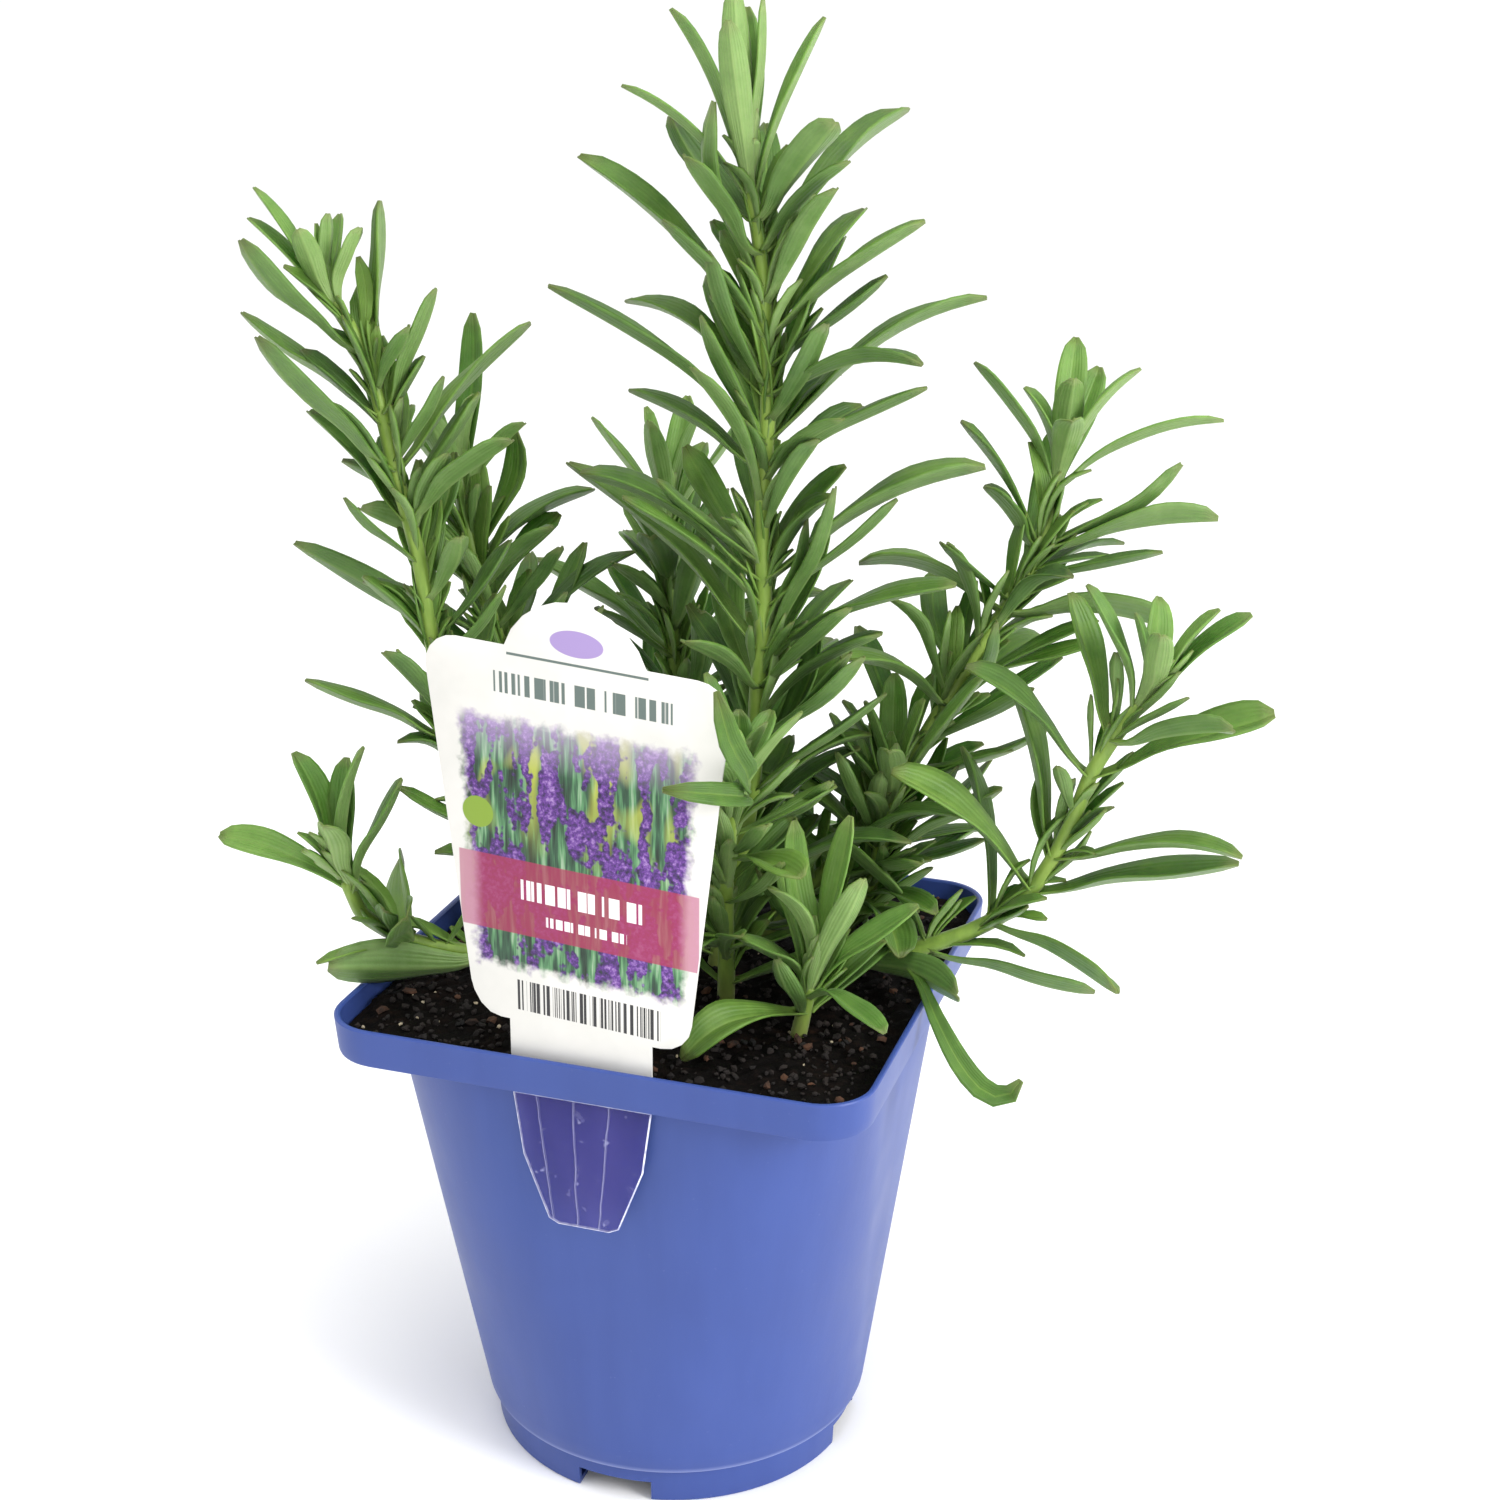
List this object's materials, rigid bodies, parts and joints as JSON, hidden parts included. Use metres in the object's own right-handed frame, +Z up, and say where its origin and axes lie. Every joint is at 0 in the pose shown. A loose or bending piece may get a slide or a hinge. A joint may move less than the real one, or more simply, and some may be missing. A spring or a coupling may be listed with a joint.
{
  "type": "potted lavender",
  "caption": "Young lavender in leaf, its shoots rising from soil in a blue square-topped nursery pot with a pushed-in plant label.",
  "frame": {"origin": "centre of the pot's foot, on the surface that it stands on", "axes": "+Z up the pot's axis, -Y out of the side with the label, +X towards the longest side shoots"},
  "size_m": [0.2014, 0.1244, 0.298],
  "materials": {
    "pot_plastic": "satin moulded polypropylene, mid blue",
    "potting_soil": "loose dark brown peat and bark compost, matte",
    "label_plastic": "thin printed plastic sheet, satin",
    "stem": "yellow-green young stem, satin",
    "leaf": "mid green leaf, soft satin",
    "tip_leaf": "pale green young leaf, finely downy"
  },
  "bodies": {
    "root": {"centre_leaf_pair_1": "leaf", "centre_leaf_pair_10": "leaf", "centre_leaf_pair_2": "leaf", "centre_leaf_pair_3": "leaf", "centre_leaf_pair_4": "leaf", "centre_leaf_pair_5": "leaf", "centre_leaf_pair_6": "leaf", "centre_leaf_pair_7": "leaf", "centre_leaf_pair_8": "leaf", "centre_leaf_pair_9": "leaf", "centre_stem": "stem", "centre_tip_leaves": "tip_leaf", "front_leaf_pair_1": "leaf", "front_leaf_pair_2": "leaf", "front_stem": "stem", "front_tip_leaves": "tip_leaf", "inner_leaf_pair_1": "leaf", "inner_leaf_pair_2": "leaf", "inner_stem": "stem", "inner_tip_leaves": "tip_leaf", "left_leaf_pair_1": "leaf", "left_leaf_pair_2": "leaf", "left_leaf_pair_3": "leaf", "left_leaf_pair_4": "leaf", "left_leaf_pair_5": "leaf", "left_rear_leaf_pair_1": "leaf", "left_rear_leaf_pair_2": "leaf", "left_rear_stem": "stem", "left_rear_tip_leaves": "tip_leaf", "left_stem": "stem", "left_tip_leaves": "tip_leaf", "low_left_leaf_pair_1": "leaf", "low_left_leaf_pair_2": "leaf", "low_left_stem": "stem", "low_left_tip_leaves": "tip_leaf", "plant_label": "label_plastic", "pot": "pot_plastic", "potting_soil": "potting_soil", "rear_leaf_pair_1": "leaf", "rear_leaf_pair_2": "leaf", "rear_leaf_pair_3": "leaf", "rear_stem": "stem", "rear_tip_leaves": "tip_leaf", "right_lower_leaf_pair_1": "leaf", "right_lower_leaf_pair_2": "leaf", "right_lower_leaf_pair_3": "leaf", "right_lower_leaf_pair_4": "leaf", "right_lower_leaf_pair_5": "leaf", "right_lower_leaf_pair_6": "leaf", "right_lower_leaf_pair_7": "leaf", "right_lower_stem": "stem", "right_lower_tip_leaves": "tip_leaf", "right_upper_leaf_pair_1": "leaf", "right_upper_leaf_pair_2": "leaf", "right_upper_leaf_pair_3": "leaf", "right_upper_stem": "stem", "right_upper_tip_leaves": "tip_leaf", "rosette_leaf_pair_1": "leaf", "rosette_stem": "stem", "rosette_tip_leaves": "tip_leaf"}
  },
  "joints": []
}
